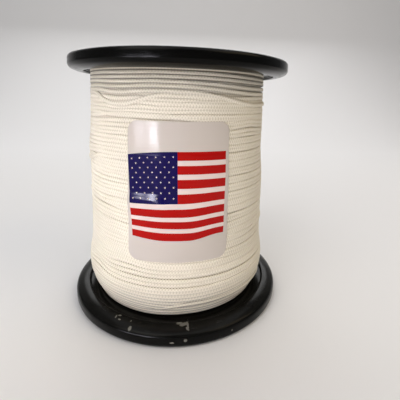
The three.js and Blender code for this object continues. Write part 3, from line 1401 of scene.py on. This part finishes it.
    def build(self, finish_name: str) -> bpy.types.Object:
        """Sweeps the string along its route.

        Args:
            finish_name: The name of its material.

        Returns:
            The piece.
        """
        route = self.route()
        section = self.section()
        curve = bpy.data.curves.new(self.name, "CURVE")
        curve.dimensions = "3D"
        curve.twist_mode = "Z_UP"
        curve.bevel_mode = "OBJECT"
        curve.bevel_object = section
        curve.use_fill_caps = True
        spline = curve.splines.new("POLY")
        spline.points.add(len(route) - 1)
        for node, place in zip(spline.points, route):
            node.co = (*place, 1)
            node.radius = self.fullness(place.z)
        swept = new_object(f"{self.name}_sweep", curve)
        bm = bmesh.new()
        take_result(bm, swept, [swept, section])
        close_mesh(bm)
        length = sum((b - a).length for a, b in zip(route, route[1:]))
        log.info("%s: %.2f m of string in %d turns", self.name, length * MM, self.turns)
        swept_turns = (len(route) - 1) / self.steps
        braid = BraidedPolyester(finish_name, swept_turns).material()
        return make_piece(self.name, bm, braid)


@dataclass
class StringWinding:
    """The string on the tube: its outer layer, the layer below it and the mass of string under both.

    Sizes are in mm, and depths are in string diameters.
    """

    form: WindingForm
    string_diameter: float = 1.5
    outer_turns: int = 65
    under_turns: int = 64
    under_depth: float = 0.8
    core_depth: float = 2.1
    core_inner: float = 19.4
    core_sides: int = 128
    core_steps: int = 24
    strays: tuple[Stray, ...] = (
        Stray(96.6, -35.0, 4.0, 22.0, -3.4, 0.5),
        Stray(87.5, -25.0, 10.0, 28.0, 1.7, 0.1),
        Stray(98.6, 92.0, 40.0, 44.0, -3.4, 0.55),
        Stray(9.2, 34.0, 26.0, 30.0, 3.4, 0.5),
        Stray(71.5, -104.0, 34.0, 24.0, -3.4, 0.5),
        Stray(38.0, 76.0, 10.0, 26.0, 1.7, 0.35),
        Stray(52.0, -66.0, 8.0, 30.0, 1.7, 0.3),
        Stray(60.0, 140.0, 30.0, 30.0, 3.4, 0.5),
        Stray(32.0, 172.0, 24.0, 30.0, -3.4, 0.5),
    )
    sags: tuple[Sag, ...] = (
        Sag(-36.0, 94.5, -1.1, 9.0, 4.0),
        Sag(45.0, 99.5, -1.8, 45.0, 6.0),
        Sag(46.0, 85.0, 0.9, 10.0, 3.5),
        Sag(0.0, 42.6, -1.6, 34.0, 5.0),
        Sag(-29.0, 28.5, 1.0, 10.0, 3.5),
        Sag(-54.0, 24.0, 1.7, 10.0, 5.0),
        Sag(-8.0, 15.0, -0.9, 26.0, 5.0),
        Sag(104.0, 62.0, -1.4, 24.0, 6.0),
        Sag(-120.0, 82.0, 1.2, 22.0, 5.0),
        Sag(165.0, 36.0, 1.4, 22.0, 5.0),
    )

    def build(self) -> list[bpy.types.Object]:
        """Makes the winding.

        Returns:
            Its pieces.
        """
        outer = StringLayer(
            "string_outer_turns",
            self.form,
            self.string_diameter,
            turns=self.outer_turns,
            depth=0.0,
            steps=90,
            sides=12,
            strays=self.strays,
            sags=self.sags,
            wander=0.4,
            unevenness=1.0,
        ).build("polyester_braid_outer")
        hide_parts("string_outer_layer")
        under = StringLayer(
            "string_under_turns",
            self.form,
            self.string_diameter,
            turns=self.under_turns,
            depth=self.under_depth * self.string_diameter,
            steps=48,
            sides=8,
        ).build("polyester_braid_under")
        core = self.core()
        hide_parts("string_inner_layers")
        return [outer, under, core]

    def core(self) -> bpy.types.Object:
        """Makes the mass of string between the tube and the turns that are modelled.

        Returns:
            The piece.
        """
        depth = self.core_depth * self.string_diameter
        low, high = self.form.low, self.form.high
        heights = [low + step * (high - low) / self.core_steps for step in range(self.core_steps + 1)]
        outline = [(self.form.radius(height, 180.0) - depth, height) for height in heights]
        outline += [(self.core_inner, height) for height in (heights[-1], heights[0])]
        bm = bmesh.new()
        corners = [bm.verts.new((radius, 0, height)) for radius, height in outline]
        for pair in zip(corners, corners[1:] + corners[:1]):
            bm.edges.new(pair)
        spin_round(bm, self.core_sides)
        material = SpiralBoard("polyester_string_mass", "#d9cfb8", "#b3a58a").material()
        return make_piece("string_core_mass", bm, material)


# ---------- The film ----------


@dataclass(frozen=True)
class FlagPlace:
    """Where the flag is printed on the sheet, drawn as if it waves a little.

    Sizes are in mm. A side is a share of the way from the sheet's middle to the flag's right edge, below 0
    on the left, and a change between two sides is eased.
    """

    top: float = 75.96
    height: float = FLAG_HEIGHT
    left: float = -20.6
    right: float = 19.2
    left_narrowing: float = 1.8
    right_narrowing: float = 0.5
    left_droop: float = 1.62
    right_droop: float = 0.1
    left_rise: float = 1.1
    left_rise_sides: tuple[float, float] = (-0.3, -1.1)
    right_rise: float = 1.9
    right_rise_sides: tuple[float, float] = (0.2, 0.85)
    rise_power: int = 4
    sag: float = 1.1
    sag_loss: float = 0.66
    sag_loss_sides: tuple[float, float] = (0.0, 0.9)
    sag_middle: float = 0.64
    sag_reach: float = 0.2
    rounds: int = 12

    def share(self, across: float, height: float) -> tuple[float, float]:
        """Where a point of the sheet is on the flag.

        Args:
            across: The distance to the right of the sheet's middle.
            height: The height above the floor.

        Returns:
            The shares across and down the flag, 0 to 1 on it.
        """
        side = across / self.right
        droop = (self.left_droop if across < 0 else self.right_droop) * side * side
        rise = self.left_rise * smoothstep(*self.left_rise_sides, side)
        rise += self.right_rise * smoothstep(*self.right_rise_sides, side)
        sag = self.sag - self.sag_loss * smoothstep(*self.sag_loss_sides, side)
        down = 0.5
        # The wave depends on how far down the flag the point is, so its place is found in rounds.
        for _ in range(self.rounds):
            top = self.top - droop * (1 - down) + rise * down**self.rise_power
            top -= sag * bell(down - self.sag_middle, self.sag_reach)
            down = (top - height) / self.height
        left = self.left + self.left_narrowing * down
        right = self.right - self.right_narrowing * down
        return (across - left) / (right - left), down


@dataclass
class LabelFilm:
    """The printed film, curved round the front of the winding. In mm.

    It ripples a little, and a pucker crosses its left half below the star field.
    """

    form: WindingForm
    flag: FlagPlace = FlagPlace()
    width: float = 41.2
    height: float = 55.8
    centre: float = 59.4
    corner: float = 4.0
    corner_segments: int = 8
    thickness: float = 0.12
    rest: float = 0.12
    columns: int = 44
    rows: int = 90
    sharp_angle: float = 50.0
    ripple: float = 0.1
    ripple_length: float = 23.0
    ripple_slant: float = 9.0
    pucker: float = 0.5
    pucker_top: float = 59.6
    pucker_left: float = -13.0
    pucker_bend: float = 0.022
    pucker_slope: float = 3.4
    pucker_foot: float = 13.0
    pucker_sides: tuple[float, float] = (-2.5, -6.5)

    def build(self, material: bpy.types.Material) -> bpy.types.Object:
        """Makes the film: a flat sheet with round corners, printed, then bent on the winding.

        Args:
            material: The printed vinyl.

        Returns:
            The piece.
        """
        bm = bmesh.new()
        bmesh.ops.create_grid(bm, x_segments=1, y_segments=1, size=0.5)
        bmesh.ops.scale(bm, vec=(self.width, self.height, 1), verts=bm.verts)
        round_off(bm, bm.verts[:], self.corner, self.corner_segments, "VERTICES")
        self.slice(bm, Vector((1, 0, 0)), self.width, self.columns)
        self.slice(bm, Vector((0, 1, 0)), self.height, self.rows)
        self.print_flag(bm)
        for vert in bm.verts:
            vert.co = self.on_winding(vert.co.x, vert.co.y + self.centre)
        bmesh.ops.recalc_face_normals(bm, faces=bm.faces)
        front = max(bm.faces, key=lambda face: -face.calc_center_median().y)
        if front.normal.y > 0:
            bmesh.ops.reverse_faces(bm, faces=bm.faces)
        bmesh.ops.solidify(bm, geom=bm.faces[:], thickness=self.thickness)
        piece = make_piece("label_film_print", bm, material)
        piece.data.set_sharp_from_angle(angle=math.radians(self.sharp_angle))
        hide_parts("label_film")
        return piece

    @staticmethod
    def slice(bm: bmesh.types.BMesh, direction: Vector, size: float, count: int) -> None:
        """Cuts the sheet into strips.

        Args:
            bm: The flat sheet, centred.
            direction: Across the strips.
            size: The sheet's size that way.
            count: How many strips.
        """
        for index in range(1, count):
            bmesh.ops.bisect_plane(
                bm,
                geom=bm.verts[:] + bm.edges[:] + bm.faces[:],
                plane_co=direction * (index / count - 0.5) * size,
                plane_no=direction,
            )

    def on_winding(self, across: float, height: float) -> Vector:
        """Where a point of the flat sheet comes to lie.

        Args:
            across: The distance to the right of the sheet's middle.
            height: The height above the floor.

        Returns:
            The point on the sheet's outer face: it rests on the turns and bridges the hollows between them.
        """
        around = self.form.radius(self.centre, 0.0) + self.rest
        azimuth = math.degrees(across / around)
        lift = self.ripple * math.sin(2 * math.pi * height / self.ripple_length + across / self.ripple_slant)
        below = self.pucker_top - self.pucker_bend * max(0.0, across - self.pucker_left) ** 2 - height
        fold = min(max(below / self.pucker_slope, 0.0), 1.0)
        fold *= 1 - smoothstep(self.pucker_slope, self.pucker_foot, below)
        lift += self.pucker * fold * smoothstep(*self.pucker_sides, across)
        reach = self.form.radius(height, azimuth) + self.rest + self.thickness + lift
        return on_drum(reach, azimuth, height)

    def print_flag(self, bm: bmesh.types.BMesh) -> None:
        """Writes the sheet's print map.

        Args:
            bm: The flat sheet, centred.
        """
        prints = bm.loops.layers.uv.new("print")
        for face in bm.faces:
            for loop in face.loops:
                place = loop.vert.co
                loop[prints].uv = self.flag.share(place.x, place.y + self.centre)


# ---------- The studio ----------


@dataclass(frozen=True)
class SoftLamp:
    """A flat soft light that faces the reel.

    Attributes:
        name: Its name.
        azimuth: Where it stands round the reel, in degrees.
        distance: How far from the reel's axis its middle is, in metres.
        height: The height of its middle in metres.
        wide: Its breadth in metres.
        tall: Its height in metres.
        power: Its power in watts.
        colour: The colour of its light.
        spread: How wide its beam is, in degrees.
    """

    name: str
    azimuth: float
    distance: float
    height: float
    wide: float
    tall: float
    power: float
    colour: str
    spread: float = 180.0

    def build(self, aim: Vector) -> None:
        """Hangs the light.

        Args:
            aim: The point that it faces.
        """
        light = bpy.data.lights.new(self.name, "AREA")
        light.shape = "RECTANGLE"
        light.size, light.size_y = self.wide, self.tall
        light.energy = self.power
        light.color = linear(self.colour)[:3]
        light.spread = math.radians(self.spread)
        lamp = new_object(self.name, light)
        place = on_drum(self.distance, self.azimuth, self.height)
        lamp.location = place
        lamp.rotation_euler = (aim - place).to_track_quat("-Z", "Y").to_euler()


@dataclass
class Studio:
    """The pale paper, the soft light and the camera. In metres and, for the camera's angles, radians."""

    camera_place: tuple[float, float, float] = (0.0, -0.15849, 0.09638)
    camera_down: float = 0.16735
    camera_right: float = 0.09377
    camera_roll: float = 0.02945
    focal_pixels: float = 314.19
    centre_x_pixels: float = 208.9
    centre_y_pixels: float = 150.62
    clip_start: float = 0.01
    lamps: tuple[SoftLamp, ...] = (
        SoftLamp("key_light", -42.0, 0.8, 0.85, wide=0.8, tall=0.85, power=3.2, colour="#fffaf2"),
        SoftLamp(
            "low_strip", -29.0, 0.6, 0.06, wide=0.15, tall=0.1, power=0.036, colour="#f4f2ff", spread=24.0
        ),
        SoftLamp(
            "low_wash", -46.0, 0.6, 0.06, wide=0.2, tall=0.1, power=0.023, colour="#f4f2ff", spread=24.0
        ),
        SoftLamp("warm_fill", 66.0, 0.7, 0.7, wide=0.7, tall=0.5, power=1.6, colour="#ffe6bd"),
        SoftLamp("back_fill", 180.0, 0.7, 0.52, wide=1.0, tall=0.3, power=2.2, colour="#ffffff"),
        SoftLamp("overhead", 0.0, 0.01, 1.1, wide=1.4, tall=1.4, power=4.9, colour="#fdfdff"),
    )
    world_strength: float = 0.18
    world_colour: str = "#f4f5f8"
    aim_height: float = 0.056
    paper_width: float = 3.0
    paper_front: float = -1.2
    paper_back: float = 0.9
    paper_top: float = 1.6
    paper_bend: float = 0.5
    bend_segments: int = 24

    def build(self) -> None:
        """Sets the whole studio up."""
        self.paper()
        self.world()
        for lamp in self.lamps:
            lamp.build(Vector((0, 0, self.aim_height)))
        self.camera()
        view = bpy.context.scene.view_settings
        view.view_transform = "Standard"

    def paper(self) -> None:
        """Hangs the paper behind the reel and runs it out under it in one sweep."""
        bm = bmesh.new()
        line = [(self.paper_front, 0.0), (self.paper_back, 0.0), (self.paper_back, self.paper_top)]
        verts = [bm.verts.new((-self.paper_width / 2, y, z)) for y, z in line]
        edges = [bm.edges.new(pair) for pair in zip(verts, verts[1:])]
        made = bmesh.ops.extrude_edge_only(bm, edges=edges)
        moved = [item for item in made["geom"] if isinstance(item, bmesh.types.BMVert)]
        bmesh.ops.translate(bm, vec=(self.paper_width, 0, 0), verts=moved)
        corner = Vector((self.paper_back, 0.0))
        fold = [edge for edge in bm.edges if all((v.co.yz - corner).length < MM for v in edge.verts)]
        round_off(bm, fold, self.paper_bend, self.bend_segments, "EDGES")
        mesh = new_mesh("studio_paper", bm)
        bm.free()
        mesh.materials.append(StudioPaper().material())
        mesh.shade_smooth()
        paper = new_object("studio_paper", mesh)

    def world(self) -> None:
        """Lights the room evenly."""
        world = bpy.data.worlds.new("studio_world")
        world.use_nodes = True
        bpy.context.scene.world = world
        glow = {"Color": linear(self.world_colour), "Strength": self.world_strength}
        set_inputs(world.node_tree.nodes["Background"], glow)

    def camera(self) -> None:
        """Sets the camera where the photo was taken from."""
        data = bpy.data.cameras.new("camera")
        data.sensor_width = SENSOR_MM
        data.sensor_fit = "HORIZONTAL"
        data.lens = self.focal_pixels / PHOTO_PIXELS * SENSOR_MM
        data.shift_x = 0.5 - self.centre_x_pixels / PHOTO_PIXELS
        data.shift_y = self.centre_y_pixels / PHOTO_PIXELS - 0.5
        data.clip_start = self.clip_start
        camera = new_object("camera", data)
        yaw, down, roll = self.camera_right, self.camera_down, self.camera_roll
        ahead = Vector((math.sin(yaw) * math.cos(down), math.cos(yaw) * math.cos(down), -math.sin(down)))
        level = Vector((math.cos(yaw), -math.sin(yaw), 0))
        above = level.cross(ahead)
        right = level * math.cos(roll) + above * math.sin(roll)
        up = above * math.cos(roll) - level * math.sin(roll)
        turned = Matrix((right, up, -ahead)).transposed()
        camera.matrix_world = Matrix.Translation(self.camera_place) @ turned.to_4x4()
        bpy.context.scene.camera = camera


# ---------- The reel ----------


@dataclass
class StringReel:
    """The whole reel, round the frame's own sizes."""

    form: WindingForm = field(default_factory=WindingForm)

    def build(self) -> None:
        """Makes and dresses every piece in order."""
        _, high = cad_box
        plastic = MouldedPolystyrene().material()
        for side in Side:
            FlangeMoulding(side, reel_height=high[2] / MM, radius=high[0] / MM).build(plastic)
        StringWinding(self.form).build()
        LabelFilm(self.form).build(PrintedVinyl().material())
        self.dress_tube()

    def dress_tube(self) -> None:
        """Gives the tube, whose CAD shape stays, its board."""
        tube = frame["nodes"]["core_tube"]
        tube.data.materials.clear()
        tube.data.materials.append(SpiralBoard().material())
        log.info("core_tube: %d faces", len(tube.data.polygons))


def main() -> None:
    """Builds the reel and the studio."""
    logging.basicConfig(level=logging.INFO, format="%(name)s: %(message)s")
    Studio().build()
    StringReel().build()


if __name__ == "__main__":
    main()
